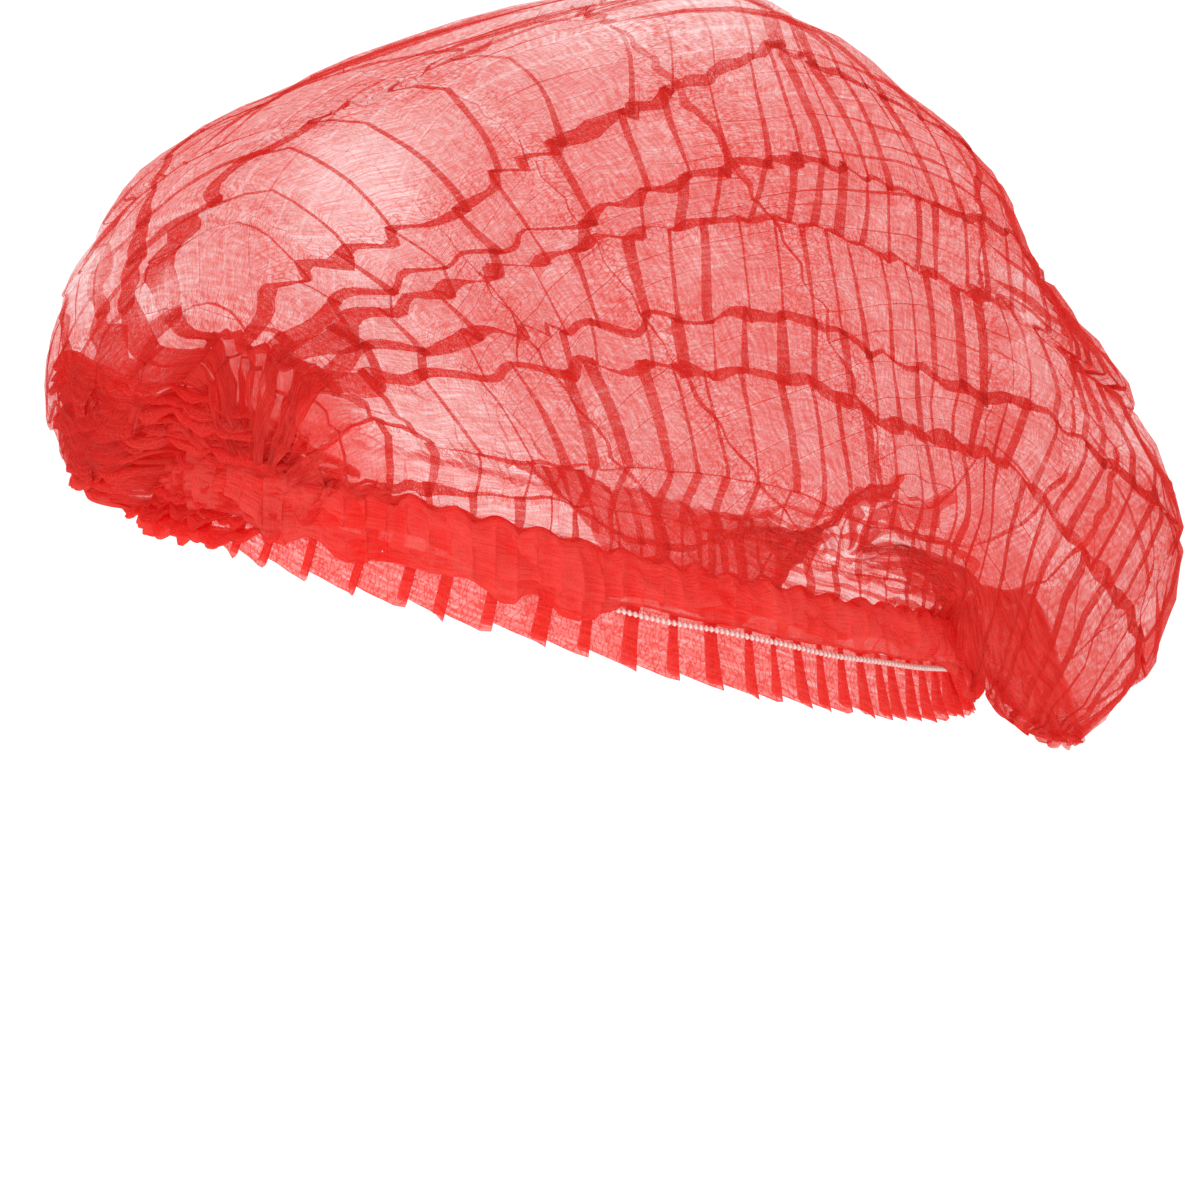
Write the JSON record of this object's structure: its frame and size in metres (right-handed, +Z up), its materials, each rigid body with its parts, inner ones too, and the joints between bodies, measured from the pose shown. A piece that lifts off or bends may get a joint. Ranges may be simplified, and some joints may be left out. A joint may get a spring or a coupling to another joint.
{
  "type": "mob cap",
  "caption": "Disposable pleated mob cap of thin red non-woven cloth, worn shape, with bunched ends, a puckered hem, a knife-pleated frill and a thin elastic.",
  "frame": {"origin": "middle of the rim, the sloping loop in which the elastic lies round the head", "axes": "+Z up through the crown, -Y towards the forehead, +X towards the wearer's left"},
  "size_m": [0.1803, 0.2526, 0.1749],
  "materials": {
    "cloth": "thin see-through spunbond non-woven, matt",
    "elastic": "thin white elastic thread, matt"
  },
  "bodies": {
    "root": {"crown": "cloth", "front_gather": "cloth", "back_gather": "cloth", "hem_band": "cloth", "frill": "cloth", "elastic_loop": "elastic"}
  },
  "joints": []
}
